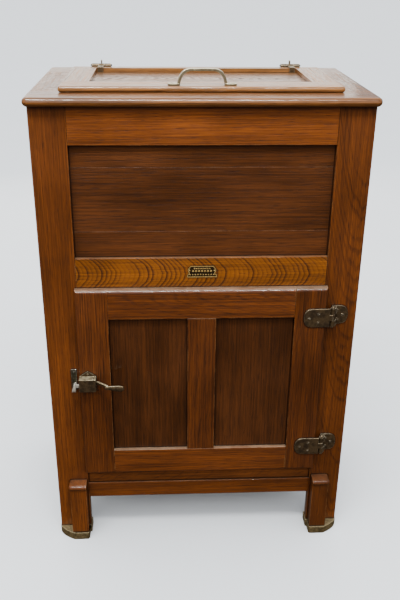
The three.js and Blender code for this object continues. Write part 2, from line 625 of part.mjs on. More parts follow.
function doorHinge(level, z) {
  const { x, y, r } = DOOR_AXIS;
  const half = LEAF_H / 2;
  const bore = rodZ(x, y, HINGE_PIN_R + GAP, z - 40, z + 40, 16);
  const seat = DOOR_FRONT - GAP;
  const eyeZ = [z - HINGE_EYE, z + HINGE_EYE];
  const doorPlate = frontPlate(leafShape(x - 7, LEAF_TIPS.door, z), seat, seat - LEAF_T);
  const arm = box([x - 9, x], [seat - LEAF_T, y], eyeZ);
  const eye = rodZ(x, y, r, ...eyeZ);
  add(`door_hinge_${level}_door_leaf`, 'bronze', cut(join(doorPlate, arm, eye), bore));

  const casePlate = frontPlate(leafShape(x + 6, LEAF_TIPS.case, z), -GAP, -GAP - LEAF_T);
  const knuckles = [];
  for (const [, t] of SIDES) {
    const ends = [z + t * (HINGE_EYE + GAP), z + t * half].sort((a, b) => a - b);
    knuckles.push(rodZ(x, y, r, ...ends), box([x, x + 8], [y, -GAP], ends));
  }
  add(`door_hinge_${level}_case_leaf`, 'bronze', cut(join(casePlate, ...knuckles), bore));

  const tip = half + GAP;
  const pin = lathe([[0, -tip - 4], [2.6, -tip - 3], [4, -tip - 1.2], [4, -tip], [HINGE_PIN_R, -tip],
    [HINGE_PIN_R, tip], [4, tip], [4, tip + 1.2], [2.6, tip + 3], [0, tip + 4]], 16);
  add(`door_hinge_${level}_pin`, 'bronze', pin.rotateX(Math.PI / 2).translate(x, y, z));
}

// ---- latch ----
function latchHousing() {
  const { left, right, bottom, top, front, wall, cover, roomZ } = LATCH;
  const seat = DOOR_FRONT - GAP;
  const plate = new THREE.Shape();
  plate.moveTo(left, bottom - LATCH.skirt);
  plate.lineTo(right, bottom - LATCH.skirt);
  plate.lineTo(right, top);
  plate.lineTo((left + right) / 2, LATCH.peak);
  plate.lineTo(left, top);
  plate.closePath();
  const back = frontPlate(plate, seat, seat - LATCH.plateT);
  const body = box([left, right], [seat - 2, front], [bottom, top]);
  const behind = seat - 3.5;
  const room = box([left + wall, right - cover], [behind, front + cover], roomZ);
  const mouth = box([right - cover - 1, right + 5], [behind, front + cover], LATCH.mouthZ);
  const boltHole = box([left - 5, left + wall + 2], [BOLT.y[0] - GAP, BOLT.y[1] + GAP],
    [BOLT.z[0] - GAP, BOLT.z[1] + GAP]);
  add('latch_body', 'bronze', cut(join(back, body), room, mouth, boltHole));
}

function latchLever() {
  const { x, y } = LATCH_AXIS;
  const hub = rodZ(x, y, LEVER.hubR, ...LEVER.hubZ, 20);
  const path = new THREE.CatmullRomCurve3([
    new THREE.Vector3(x, y, 434),
    new THREE.Vector3(x + 8, y, 435.5),
    new THREE.Vector3(x + 20, y - 8, 436),
    new THREE.Vector3(x + 34, y - 15.5, 433),
  ]);
  const section = roundedRectangle(-2.6, 2.6, -3.4, 3.4, 1.6);
  const neck = new THREE.ExtrudeGeometry(section, {
    steps: 10, curveSegments: 2, extrudePath: path, bevelEnabled: false,
  });
  const grip = lathe([[0, 0], [3.4, 1], [4.4, 8], [5.8, 18], [7, 28], [7, 35], [5.4, 39.5], [2.6, 41.5],
    [0, LEVER.grip]], 14);
  grip.rotateZ(-Math.PI / 2).scale(1, LEVER.flat, 1).rotateZ(-LEVER.droop);
  const placed = grip.translate(x + 27.5, y - 14, 432);
  placed.computeBoundingBox();
  placed.translate(0, LEVER_FRONT - placed.boundingBox.min.y, 0);
  add('latch_lever', 'bronze', join(hub, neck, placed));
}

function latchBoltAndStrike() {
  add('latch_bolt', 'steel', box([BOLT.left, BOLT.right], BOLT.y, BOLT.z));
  const plate = box([STRIKE.left, STRIKE.right], [-GAP, -GAP - STRIKE.t], STRIKE.z);
  const root = -STRIKE.t;
  const hook = new THREE.Shape();
  hook.moveTo(root, 408);
  hook.lineTo(-20, 408);
  hook.quadraticCurveTo(-30, 409, -31, 419);
  hook.quadraticCurveTo(-31, 430, -27, 433);
  hook.lineTo(-23, 431);
  hook.quadraticCurveTo(-24, 425, -20, 421);
  hook.lineTo(root, 421);
  hook.closePath();
  const lip = new THREE.ExtrudeGeometry(hook, {
    depth: STRIKE.hookW, steps: 1, curveSegments: 8, bevelEnabled: false,
  });
  // The outline is drawn in depth and height, then turned to face sideways.
  lip.applyMatrix4(new THREE.Matrix4().set(0, 0, 1, STRIKE.hookX, 1, 0, 0, 0, 0, 1, 0, 0, 0, 0, 0, 1));
  // The hook ends below in a half round, seen from the front.
  const middle = STRIKE.hookX + STRIKE.hookW / 2;
  const tongue = new THREE.Shape();
  tongue.moveTo(middle - STRIKE.hookW / 2, 440);
  tongue.absarc(middle, 408 + STRIKE.hookW / 2, STRIKE.hookW / 2, Math.PI, 2 * Math.PI, false);
  tongue.lineTo(middle + STRIKE.hookW / 2, 440);
  tongue.closePath();
  add('latch_strike', 'steel', join(plate, common(lip, frontPlate(tongue, 5, -40))));
}

function badge() {
  const plate = new THREE.Shape();
  const { halfW, z: [foot, top] } = BADGE;
  const waist = foot + 5.5;
  plate.moveTo(-halfW, foot);
  plate.lineTo(halfW, foot);
  plate.lineTo(halfW, waist);
  plate.quadraticCurveTo(halfW - 5, waist + 1, halfW - 3, waist + 6);
  plate.quadraticCurveTo(halfW, waist + 10, halfW - 3, waist + 14);
  plate.lineTo(halfW - 7, top);
  plate.lineTo(-halfW + 7, top);
  plate.lineTo(-halfW + 3, waist + 14);
  plate.quadraticCurveTo(-halfW, waist + 10, -halfW + 3, waist + 6);
  plate.quadraticCurveTo(-halfW + 5, waist + 1, -halfW, waist);
  plate.closePath();
  add('badge', 'brass', frontPlate(plate, -GAP, -GAP - BADGE.t));
}

faceFrame();
doorJamb();
sidePanels();
backBoards();
floorBoard();
topFrame();
footBlocks();
footShoes();
liners();
insulation();
iceRack();
shelf('shelf_lower', SHELF_Z[0]);
shelf('shelf_upper', SHELF_Z[1]);
drain();
lidFrame();
lidPlug();
lidHandle();
lidHinges();
doorFrame();
doorLiner();
doorHinges();
latchHousing();
latchLever();
latchBoltAndStrike();
badge();

export default icebox;
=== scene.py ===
"""Looks of an oak icebox with a lift lid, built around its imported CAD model.

Metres, +Z up, the door faces -Y. Every board carries its own grain coordinates, so one shader
serves boards cut and turned in different ways.
"""

import json
import math
import random
from types import SimpleNamespace

import bmesh
import bpy
from mathutils import Matrix, Vector

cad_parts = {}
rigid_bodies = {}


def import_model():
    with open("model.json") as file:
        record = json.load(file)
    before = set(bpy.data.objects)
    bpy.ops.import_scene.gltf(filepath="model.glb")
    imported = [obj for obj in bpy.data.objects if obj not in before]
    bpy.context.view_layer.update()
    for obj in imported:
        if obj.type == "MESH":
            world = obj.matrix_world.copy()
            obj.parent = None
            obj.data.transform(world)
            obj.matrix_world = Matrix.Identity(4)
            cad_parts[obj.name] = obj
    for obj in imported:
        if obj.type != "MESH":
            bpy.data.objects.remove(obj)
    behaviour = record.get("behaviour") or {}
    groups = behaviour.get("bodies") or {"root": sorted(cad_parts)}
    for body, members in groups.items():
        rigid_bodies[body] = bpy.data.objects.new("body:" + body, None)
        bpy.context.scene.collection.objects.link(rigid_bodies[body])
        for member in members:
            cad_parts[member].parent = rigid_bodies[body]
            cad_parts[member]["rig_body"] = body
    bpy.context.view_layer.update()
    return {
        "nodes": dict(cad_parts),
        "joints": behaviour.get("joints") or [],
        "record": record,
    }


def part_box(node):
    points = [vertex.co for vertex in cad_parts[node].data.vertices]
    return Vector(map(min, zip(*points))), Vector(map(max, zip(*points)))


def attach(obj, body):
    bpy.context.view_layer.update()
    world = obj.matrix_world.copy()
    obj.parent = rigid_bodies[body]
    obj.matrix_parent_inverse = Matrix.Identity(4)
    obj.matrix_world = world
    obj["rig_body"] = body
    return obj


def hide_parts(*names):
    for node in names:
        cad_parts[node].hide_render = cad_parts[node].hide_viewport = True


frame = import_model()

NODE_BODY = {n: o["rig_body"] for n, o in frame["nodes"].items()}
NODE_SLOT = {part["node"]: part["material_slot"] for part in frame["record"]["subparts"]}
JOINT_AT = {joint["name"]: joint.get("pos_m") for joint in frame["joints"]}
X, Y, Z = 0, 1, 2
FRONT, BACK, UP = (0, -1, 0), (0, 1, 0), (0, 0, 1)
FACE_Y = -0.1745          # the front of the face frame


# ---------------------------------------------------------------- node trees

class Tree:
    """The nodes of a material or world. Most calls add a node and return its output."""

    def __init__(self, owner, shader="Principled BSDF"):
        owner.use_nodes = True
        self.owner = owner
        self.nodes = owner.node_tree.nodes
        self.links = owner.node_tree.links
        self.shader = self.nodes[shader]

    def put(self, socket, value):
        if isinstance(value, bpy.types.NodeSocket):
            self.links.new(value, socket)
        else:
            socket.default_value = value

    def node(self, kind, inputs, out=0, **settings):
        made = self.nodes.new(kind)
        for key, value in settings.items():
            setattr(made, key, value)
        for key, value in inputs.items():
            self.put(made.inputs[key], value)
        return made.outputs[out]

    def surface(self, **inputs):
        """Sets inputs of the shader and returns the material or world."""
        for key, value in inputs.items():
            self.put(self.shader.inputs[key.replace("_", " ")], value)
        return self.owner

    def math(self, operation, *values):
        return self.node("ShaderNodeMath", dict(enumerate(values)), operation=operation)

    def add(self, a, b):
        return self.math("ADD", a, b)

    def times(self, a, b):
        return self.math("MULTIPLY", a, b)

    def most(self, a, b):
        return self.math("MAXIMUM", a, b)

    def inverse(self, a):
        return self.math("SUBTRACT", 1.0, a)

    def scaled(self, vector, factors):
        return self.node("ShaderNodeVectorMath", {0: vector, 1: factors}, operation="MULTIPLY")

    def split(self, vector):
        """The three components of a vector."""
        return self.node("ShaderNodeSeparateXYZ", {0: vector}).node.outputs

    def mix(self, factor, a, b, blend="MIX"):
        inputs = {0: factor, 6: a, 7: b}
        return self.node("ShaderNodeMix", inputs, out=2, data_type="RGBA", blend_type=blend)

    def noise(self, vector, scale, detail=2.0, roughness=0.5, distortion=0.0):
        inputs = {"Vector": vector, "Scale": scale, "Detail": detail,
                  "Roughness": roughness, "Distortion": distortion}
        return self.node("ShaderNodeTexNoise", inputs)

    def spread(self, value, low, high, to_low=0.0, to_high=1.0):
        """Maps low..high to to_low..to_high with soft ends."""
        inputs = {0: value, 1: low, 2: high, 3: to_low, 4: to_high}
        return self.node("ShaderNodeMapRange", inputs, interpolation_type="SMOOTHSTEP")

    def ramp(self, value, stops):
        """A ramp through (position, colour) stops."""
        made = self.nodes.new("ShaderNodeValToRGB")
        self.put(made.inputs[0], value)
        elements = made.color_ramp.elements
        while len(elements) < len(stops):
            elements.new(0.5)
        for element, (position, tint) in zip(elements, stops):
            element.position = position
            element.color = colour(*tint)
        return made.outputs[0]

    def place(self):
        """Where a point lies, in metres."""
        return self.node("ShaderNodeTexCoord", {}, out=3)

    def attribute(self, name):
        return self.node("ShaderNodeAttribute", {}, out=1, attribute_name=name)

    def crevice_shade_and_dirt(self, reach, samples=6):
        """1 in a crevice, 0 in the open, for painted shade and dirty corners."""
        shade = self.node("ShaderNodeAmbientOcclusion", {"Distance": reach}, out=1, samples=samples)
        return self.inverse(shade)

    def normal(self):
        return self.node("ShaderNodeNewGeometry", {}, out=1)

    def edges(self, radius):
        """1 on a corner, 0 on a flat: how far rounding by radius turns the normal."""
        bent = self.node("ShaderNodeBevel", {"Radius": radius}, samples=4)
        inputs = {0: bent, 1: self.normal()}
        cosine = self.node("ShaderNodeVectorMath", inputs, out=1, operation="DOT_PRODUCT")
        return self.spread(cosine, 0.995, 0.86)

    def upward(self, low=0.55, high=0.95):
        """1 on faces that look up, where it gets dusty, hands rub and painted highlights go."""
        return self.spread(self.split(self.normal())[Z], low, high)

    def bump(self, height, distance, strength=1.0, over=None):
        inputs = {"Strength": strength, "Distance": distance, "Height": height}
        if over is not None:
            inputs["Normal"] = over
        return self.node("ShaderNodeBump", inputs)


def colour(r, g, b):
    return (r, g, b, 1.0)


def darker(tint, factor):
    return colour(*[c * factor for c in tint])


def new_material(name):
    return Tree(bpy.data.materials.new(name))


# ---------------------------------------------------------------- wood

# (position across a growth ring, darkness)
SHARP_RINGS = [(0.0, 0.0), (0.12, 1.0), (0.30, 0.55), (0.58, 0.08), (1.0, 0.0)]
SOFT_RINGS = [(0.0, 0.05), (0.20, 0.95), (0.42, 0.8), (0.62, 0.2), (1.0, 0.0)]
FADING_RINGS = [(0.0, 0.0), (0.13, 0.95), (0.36, 0.62), (0.72, 0.18), (1.0, 0.0)]

# How wood looks where a material says nothing else.
WOOD = dict(
    spacing=0.0045,           # from one growth ring to the next, in metres
    wander=0.03,              # how far the rings stray from circles, in metres
    fray=0.7,                 # how ragged a ring is, in spacings
    profile=SHARP_RINGS,
    figure=0.6,               # darkness of the rings
    streak=0.35,              # darkness of the streaks between them
    band=0.15,                # contrast of broad bands along the grain,
    blotch=0.35,              # of slow patches,
    fibre=0.26,               # and of hair-fine fibres
    wear=0.4,                 # how much of the corners is rubbed
    worn=(0.40, 0.19, 0.06),  # the colour there
    crevice_shade_and_dirt=0.58,               # painted shade in corners, which are dirty too
    joint=0.9,                # painted shade in the joints and narrow gaps between boards, which are dirty too
    ledge=0.55,               # how dusty what looks up is, most on its edges, with a painted highlight there
    roughness=0.42,
    gloss_level=0.2,
    coat=0.85,                # strength of the varnish
    coat_roughness=0.14,
    open_grain=0.4,           # how much of it is missing over pores and dark lines,
    dull=0.0,                 # and on the corners
    relief=0.09)              # how much of the grain is felt through it
# the pale colour of what looks up: dusty, and a painted highlight
DUST_AND_HIGHLIGHT = (0.46, 0.32, 0.20)


def grain_lines(t, grain, drift, look):
    """How dark each growth ring is, 0 to 1. grain's first axis is the pith of the tree."""
    slow = t.noise(t.scaled(grain, (2.6, 14, 14)), 1.0, 3.0, 0.55)
    bend = t.times(t.math("SUBTRACT", slow, 0.5), look.wander)
    parts = t.split(grain)
    side, behind = t.add(parts[1], bend), parts[2]
    radius = t.math("SQRT", t.add(t.times(side, side), t.times(behind, behind)))
    fine = t.noise(t.scaled(grain, (9, 60, 60)), 1.0, 3.0, 0.6)
    radius = t.add(radius, t.times(t.math("SUBTRACT", fine, 0.5), look.spacing * look.fray))
    phase = t.math("DIVIDE", t.add(t.add(radius, drift), bend), look.spacing)
    ring = t.ramp(t.math("FRACT", phase), [(at, (level,) * 3) for at, level in look.profile])
    depth = t.node("ShaderNodeTexWhiteNoise", {"W": t.math("FLOOR", phase)},
                   noise_dimensions="1D")
    return t.times(ring, t.spread(depth, 0.0, 1.0, 0.35, 1.0))


def wood_maps(t, look):
    """The patterns that a board's looks are mixed from, and its own tone.

    The factors on grain are features per metre: along the grain, and twice across it.
    """
    grain = t.attribute("grain")
    drift, tone, strength = t.split(t.attribute("board"))
    ring = grain_lines(t, grain, drift, look)
    pores = t.noise(t.scaled(grain, (38, 900, 900)), 1.0, 1.0)
    return SimpleNamespace(
        grain=grain,
        tone=tone,
        ring=ring,
        lines=t.times(t.times(ring, strength), look.figure),
        pores=t.times(t.spread(pores, 0.52, 0.66), t.spread(ring, 0.0, 0.7, 0.5, 1.0)),
        streaks=t.noise(t.scaled(grain, (5, 260, 260)), 1.0, 3.0, 0.65),
        bands=t.noise(t.scaled(grain, (1.6, 38, 38)), 1.0, 2.0, 0.5),
        patches=t.noise(t.scaled(grain, (5, 9, 9)), 1.0, 3.0, 0.55),
        hairs=t.noise(t.scaled(grain, (7, 420, 420)), 1.0, 4.0, 0.7),
        rub=t.noise(t.place(), 38.0, 4.0, 0.65))


def clean_wood(t, look, maps, light, dark):
    """The colour of the wood itself."""
    soft = t.spread(maps.streaks, 0.25, 0.75, 0.0, look.streak)
    shade = t.add(t.most(maps.lines, soft), t.times(soft, 0.35))
    tint = t.mix(shade, colour(*light), colour(*dark))
    blotch = look.blotch * 0.5
    level = t.times(t.spread(maps.bands, 0.25, 0.75, 1.0 - look.band, 1.0 + look.band),
                    t.spread(maps.patches, 0.2, 0.8, 1.0 - blotch, 1.0 + blotch))
    level = t.times(level, t.spread(maps.hairs, 0.3, 0.7, 1.0 - look.fibre, 1.0 + look.fibre))
    level = t.times(level, maps.tone)
    level = t.times(level, t.spread(maps.pores, 0.0, 1.0, 1.0, 0.50))
    grey = t.node("ShaderNodeCombineXYZ", {0: level, 1: level, 2: level})
    return t.mix(1.0, tint, grey, "MULTIPLY")


def used_wood(t, look, maps, tint, dark):
    """The colour with rubbed corners, painted shade in dirty joints and corners, and dusty ledges
    with painted highlights, and where it is rubbed.
    """
    # Painted shade, and dirty corners: joints, narrow gaps and corners darken where they are
    # occluded.
    seam = t.spread(t.crevice_shade_and_dirt(0.004, 8), 0.08, 0.35)
    rubbed = t.times(t.edges(0.0035), t.spread(maps.rub, 0.42, 0.62, 0.0, look.wear))
    rubbed = t.times(rubbed, t.inverse(seam))
    tint = t.mix(rubbed, tint, colour(*look.worn))
    corner_shade_and_dirt = t.times(t.crevice_shade_and_dirt(0.018), t.spread(maps.patches, 0.2, 0.8, look.crevice_shade_and_dirt * 0.7, look.crevice_shade_and_dirt))
    tint = t.mix(t.most(corner_shade_and_dirt, t.times(seam, look.joint)), tint, darker(dark, 0.18))
    # Painted highlight, and dusty tops: what looks up turns pale, most on its edges.
    edge_share = t.add(0.35, t.times(t.edges(0.0030), 0.65))
    dust_and_highlight = t.times(t.times(t.upward(), edge_share),
                   t.spread(maps.rub, 0.3, 0.6, look.ledge * 0.5, look.ledge))
    return t.mix(dust_and_highlight, tint, colour(*DUST_AND_HIGHLIGHT)), rubbed


def varnish(t, look, maps):
    """Lays the clear coat."""
    broad = t.bump(t.noise(t.scaled(maps.grain, (6, 26, 26)), 1.0, 2.0), 0.0022, 0.35)
    height = t.add(t.times(maps.pores, -0.8), maps.hairs)
    lacquer = t.bump(height, 0.0009 * look.relief, 0.9, broad)
    bare = t.most(maps.pores, t.spread(maps.hairs, 0.45, 0.7))
    bare = t.most(bare, t.times(maps.lines, 1.2))
    film = t.spread(bare, 0.0, 1.0, look.coat, look.coat * (1.0 - look.open_grain))
    film = t.times(film, t.spread(t.edges(0.0020), 0.0, 1.0, 1.0, 1.0 - look.dull))
    t.surface(Coat_Weight=film, Coat_Roughness=look.coat_roughness, Coat_Normal=lacquer)


def wood(name, light, dark, **changes):
    """Wood on boards that carry the attributes grain and board; changes are to WOOD."""
    look = SimpleNamespace(**{**WOOD, **changes})
    t = new_material(name)
    maps = wood_maps(t, look)
    tint, rubbed = used_wood(t, look, maps, clean_wood(t, look, maps, light, dark), dark)
    gloss = t.add(t.spread(maps.patches, 0.2, 0.8, look.roughness - 0.06, look.roughness + 0.10),
                  t.add(t.times(maps.pores, 0.15), t.times(rubbed, 0.15)))
    height = t.add(t.times(maps.pores, -0.7),
                   t.add(t.times(maps.ring, -0.35), t.times(maps.streaks, 0.3)))
    normal = t.bump(height, 0.0003 + 0.0004 * look.relief, 0.7)
    if look.coat:
        varnish(t, look, maps)
    return t.surface(Base_Color=tint, Roughness=gloss, Normal=normal,
                     Specular_IOR_Level=look.gloss_level)


# ---------------------------------------------------------------- other materials

def metal(name, base, deep, worn, roughness=0.42, metallic=0.9, wear=0.9, edge=0.0012,
          mottle=90.0, pits=0.00012, reach=0.006, top_rub_and_highlight=0.6, lit=None):
    """Cast or stamped metal, darkened with age, rubbed bright on its edges, paler on its tops and
    top edges by rubbing and painted highlight, and darker in corners by painted shade and soiling.

    wear says how bright the rubbed edges are, and the strength for tops how pale the tops are; edge
    says how far rubbing spreads from an edge and reach how far painted shade and dirtiness spread
    from a corner, mottle and pits how fine and deep the mottling is.
    lit is an axis and two coordinates: bright up to the first of them, not past the second.
    """
    t = new_material(name)
    place = t.place()
    cloud = t.noise(place, mottle, 5.0, 0.62)
    specks = t.noise(place, mottle * 9, 3.0, 0.6)
    tint = t.mix(t.spread(cloud, 0.32, 0.68), colour(*deep), colour(*base))
    tint = t.mix(t.spread(specks, 0.55, 0.75, 0.0, 0.55), tint, colour(*deep))
    rub = t.spread(t.noise(place, mottle * 1.6, 3.0, 0.6), 0.34, 0.6, 0.25, 1.0)
    # Painted highlight on edges that look up, and tops paler by rubbing and painted highlight.
    rim = t.times(t.edges(edge), t.upward(0.25, 0.7))
    top = t.most(t.times(t.times(t.upward(), rub), top_rub_and_highlight), rim)
    bright = t.most(t.times(t.times(t.edges(edge), rub), wear), top)
    if lit:
        axis, full, none = lit
        bright = t.most(bright, t.spread(t.split(place)[axis], full, none, 0.9, 0.0))
    tint = t.mix(bright, tint, colour(*worn))
    # Painted shade, and dirty corners: corners darken, less on the tops.
    corner_shade_and_dirt = t.times(t.times(t.crevice_shade_and_dirt(reach), 0.8), t.inverse(t.times(top, 0.7)))
    tint = t.mix(corner_shade_and_dirt, tint, darker(deep, 0.3))
    gloss = t.add(t.spread(cloud, 0.3, 0.7, roughness + 0.14, roughness - 0.06),
                  t.times(bright, -0.14))
    height = t.add(t.times(specks, 0.7), cloud)
    shine = t.math("SUBTRACT", metallic, t.times(bright, 0.35))
    return t.surface(Base_Color=tint, Roughness=gloss, Normal=t.bump(height, pits, 0.8),
                     Metallic=shine)


def zinc():
    """Zinc-coated sheet: large flat crystals, dulled and spotted with white bloom."""
    t = new_material("zinc_sheet")
    place = t.place()
    cells = t.node("ShaderNodeTexVoronoi", {"Vector": place, "Scale": 85.0}, out=1)
    tone = t.node("ShaderNodeSeparateColor", {0: cells})
    cloud = t.noise(place, 14.0, 5.0, 0.6)
    bloom = t.spread(t.noise(place, 42.0, 5.0, 0.7), 0.54, 0.72)
    tint = t.mix(t.spread(tone, 0.0, 1.0, 0.1, 0.9), colour(0.30, 0.31, 0.32),
                 colour(0.46, 0.47, 0.48))
    tint = t.mix(t.spread(cloud, 0.3, 0.7, 0.0, 0.5), tint, colour(0.24, 0.24, 0.235))
    tint = t.mix(t.times(bloom, 0.6), tint, colour(0.58, 0.585, 0.57))
    # Painted shade, and dirty corners: the sheet darkens near corners.
    tint = t.mix(t.times(t.crevice_shade_and_dirt(0.03), 0.6), tint, colour(0.09, 0.085, 0.075))
    gloss = t.add(t.spread(tone, 0.0, 1.0, 0.34, 0.5), t.times(bloom, 0.25))
    height = t.add(t.times(t.noise(place, 9.0, 3.0), 6.0), t.times(bloom, 0.3))
    return t.surface(Base_Color=tint, Roughness=gloss, Normal=t.bump(height, 0.0009, 0.5),
                     Metallic=0.85)


def felt(name, base, fibre, scale=900.0):
    """Matted fibre, for the door strip and the packing between the walls."""
    t = new_material(name)
    place = t.place()
    fuzz = t.noise(place, scale, 4.0, 0.7, 0.6)
    cloud = t.noise(place, scale * 0.05, 4.0, 0.6)
    tint = t.mix(t.spread(fuzz, 0.3, 0.7), colour(*base), colour(*fibre))
    tint = t.mix(t.spread(cloud, 0.35, 0.7, 0.0, 0.6), tint, darker(base, 0.5))
    t.surface(Base_Color=tint, Roughness=t.spread(fuzz, 0.2, 0.8, 0.85, 1.0),
              Normal=t.bump(fuzz, 0.0006, 0.9))
    return t.surface(Specular_IOR_Level=0.2, Sheen_Weight=0.3, Sheen_Roughness=0.5)


TOP_FINISH = dict(roughness=0.42, coat=1.0, coat_roughness=0.12, wear=0.35, figure=0.9,
                  crevice_shade_and_dirt=0.12, fibre=0.55, worn=(0.45, 0.22, 0.07), relief=0.06, ledge=0.0,
                  gloss_level=0.25, open_grain=1.0, joint=0.3)
BADGE_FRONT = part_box("badge")[0].y

MATERIALS = {
    "oak_case": wood("oak_case", (0.151, 0.0390, 0.0045), (0.026, 0.0062, 0.0012), fibre=0.32,
                     blotch=0.6, ledge=0.12, dull=0.8, profile=SOFT_RINGS),
    "oak_top": wood("oak_top", (0.215, 0.076, 0.0145), (0.034, 0.011, 0.0026), **TOP_FINISH),
    "oak_lid": wood("oak_lid", (0.290, 0.116, 0.024), (0.050, 0.018, 0.0042), **TOP_FINISH),
    "oak_door": wood("oak_door", (0.104, 0.0266, 0.0034), (0.020, 0.0050, 0.0011), figure=0.8,
                     fibre=0.50, blotch=0.5, ledge=0.9, dull=0.6, profile=SOFT_RINGS),
    "dark_oak_panels": wood("dark_oak_panels", (0.077, 0.0220, 0.0038), (0.022, 0.0064, 0.0016),
                            figure=0.5, streak=0.28, wear=0.2, band=0.12, fibre=0.38,
                            blotch=0.75, coat=0.6, dull=0.7),
    "golden_oak": wood("golden_oak", (0.27, 0.081, 0.0078), (0.050, 0.0135, 0.0020),
                       spacing=0.0041, wander=0.012, figure=0.85, streak=0.3, fray=0.5,
                       blotch=0.6, fibre=0.28, ledge=0.3, profile=FADING_RINGS),
    "pine": wood("pine", (0.27, 0.155, 0.075), (0.10, 0.052, 0.024), spacing=0.006,
                 roughness=0.72, coat=0.0, figure=0.55, wear=0.1, worn=(0.5, 0.36, 0.22),
                 blotch=0.7),
    "zinc_sheet": zinc(),
    "tinned_wire": metal("tinned_wire", (0.34, 0.33, 0.31), (0.14, 0.125, 0.11),
                         (0.55, 0.54, 0.52), roughness=0.4, wear=0.3),
    "insulation": felt("insulation", (0.16, 0.115, 0.075), (0.30, 0.23, 0.15), 500.0),
    "dark_bronze": metal("dark_bronze", (0.165, 0.108, 0.053), (0.054, 0.035, 0.019),
                         (0.62, 0.54, 0.375), roughness=0.42, metallic=0.8, edge=0.0016,
                         top_rub_and_highlight=0.22),
    "shoe_metal": metal("shoe_metal", (0.30, 0.215, 0.095), (0.10, 0.070, 0.030),
                        (0.50, 0.42, 0.25), roughness=0.5, metallic=0.7, wear=0.8,
                        mottle=130.0, pits=0.0006, top_rub_and_highlight=0.25, edge=0.002),
    "worn_steel": metal("worn_steel", (0.150, 0.135, 0.085), (0.050, 0.045, 0.028),
                        (0.68, 0.625, 0.52), roughness=0.32, metallic=0.85, edge=0.0010,
                        lit=(Y, FACE_Y - 0.024, FACE_Y - 0.020)),
    "aged_brass": metal("aged_brass", (0.46, 0.40, 0.26), (0.17, 0.130, 0.072),
                        (0.78, 0.70, 0.45), roughness=0.34, metallic=0.8, top_rub_and_highlight=0.6),
}
LATCH = metal("latch_bronze", (0.160, 0.105, 0.052), (0.050, 0.033, 0.018),
              (0.54, 0.475, 0.30), roughness=0.42, metallic=0.8, wear=0.3, edge=0.0010,
              top_rub_and_highlight=0.75)
PATINA = metal("badge_patina", (0.055, 0.032, 0.012), (0.018, 0.010, 0.004),
               (0.56, 0.36, 0.11), roughness=0.36, metallic=0.7, edge=0.0004, mottle=240.0,
               reach=0.0016, lit=(Y, BADGE_FRONT + 0.0001, BADGE_FRONT + 0.0004))
FELT = felt("door_felt", (0.055, 0.050, 0.044), (0.13, 0.12, 0.105))


# ---------------------------------------------------------------- pieces from CAD nodes

def own_mesh(node):
    """The CAD node's faces as a clean bmesh, flat areas joined into one face each."""
    made = bmesh.new()
    made.from_mesh(frame["nodes"][node].data)
    bmesh.ops.remove_doubles(made, verts=made.verts, dist=2e-6)
    bmesh.ops.dissolve_limit(made, angle_limit=math.radians(0.5), verts=made.verts,
                             edges=made.edges)
    return made


def keep_inside(made, low, high):
    """Saws off what lies outside the box low to high, and closes each cut."""
    for axis in (X, Y, Z):
        for limit, sign in ((low[axis], -1), (high[axis], 1)):
            if limit is None:
                continue
            at, normal = Vector((0, 0, 0)), Vector((0, 0, 0))
            at[axis], normal[axis] = limit, sign
            geometry = made.verts[:] + made.edges[:] + made.faces[:]
            bmesh.ops.bisect_plane(made, geom=geometry, dist=1e-7, plane_co=at, plane_no=normal,
                                   clear_outer=True)
            bmesh.ops.holes_fill(made, edges=[e for e in made.edges if e.is_boundary])


# how far edges are rounded off
WOOD_EDGE, METAL_EDGE, BADGE_EDGE, FELT_EDGE = 0.0006, 0.00045, 0.00015, 0.0012
CRACK_EDGE = 0.0003       # the upper panel's boards, which almost touch
SHARP = math.radians(32)  # a flatter edge is part of a curve and stays


def ease(made, width):
    """Rounds the sharp edges over width, as sanding or casting leaves them."""
    sharp = [e for e in made.edges if len(e.link_faces) == 2 and e.calc_face_angle() > SHARP]
    bmesh.ops.bevel(made, geom=sharp, offset=width, segments=2, profile=0.5, affect="EDGES",
                    clamp_overlap=True)


def round_rim(made, front, width):
    """Rounds the outline of the flat that lies at y = front, as on a cast leaf."""
    rim = [e for e in made.edges if len(e.link_faces) == 2 and e.calc_face_angle() > 1.2
           and all(abs(v.co.y - front) < 5e-5 for v in e.verts)]
    bmesh.ops.bevel(made, geom=rim, offset=width, segments=4, profile=0.5, affect="EDGES",
                    clamp_overlap=True)


def finished(made, name, slot, body, replaced=(), material=None):
    """Makes the bmesh a piece of that body; material stands in for the slot's own."""
    mesh = bpy.data.meshes.new(name)
    bmesh.ops.recalc_face_normals(made, faces=made.faces)
    made.to_mesh(mesh)
    made.free()
    mesh.shade_smooth()
    mesh.set_sharp_from_angle(angle=math.radians(50))
    mesh.materials.append(material or MATERIALS[slot])
    piece = bpy.data.objects.new(name, mesh)
    bpy.context.scene.collection.objects.link(piece)
    shading = piece.modifiers.new("even shading", "WEIGHTED_NORMAL")
    shading.keep_sharp = True
    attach(piece, body)
    if replaced:
        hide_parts(*replaced)
    return piece


BOARD_STEP = 1.37         # between the places of two boards along the tree, so that none repeats


def lay_grain(piece, along, face, cut, tone, seed):
    """Writes two attributes: grain, where each point lies in its tree, and board, its looks.

    along is the axis that the grain runs on, and face the one that the broad face looks along.
    """
    pith_across, pith_deep, drift, figure = cut
    across = 3 - along - face
    points = [v.co for v in piece.data.vertices]
    middle = [(min(p[i] for p in points) + max(p[i] for p in points)) / 2 for i in range(3)]
    grain = piece.data.attributes.new("grain", "FLOAT_VECTOR", "POINT")
    board = piece.data.attributes.new("board", "FLOAT_VECTOR", "POINT")
    for i, p in enumerate(points):
        u, v, w = p[along] - middle[along], p[across] - middle[across], p[face] - middle[face]
        grain.data[i].vector = (u + seed * BOARD_STEP, v - pith_across, w - pith_deep)
        board.data[i].vector = (u * drift, tone, figure)


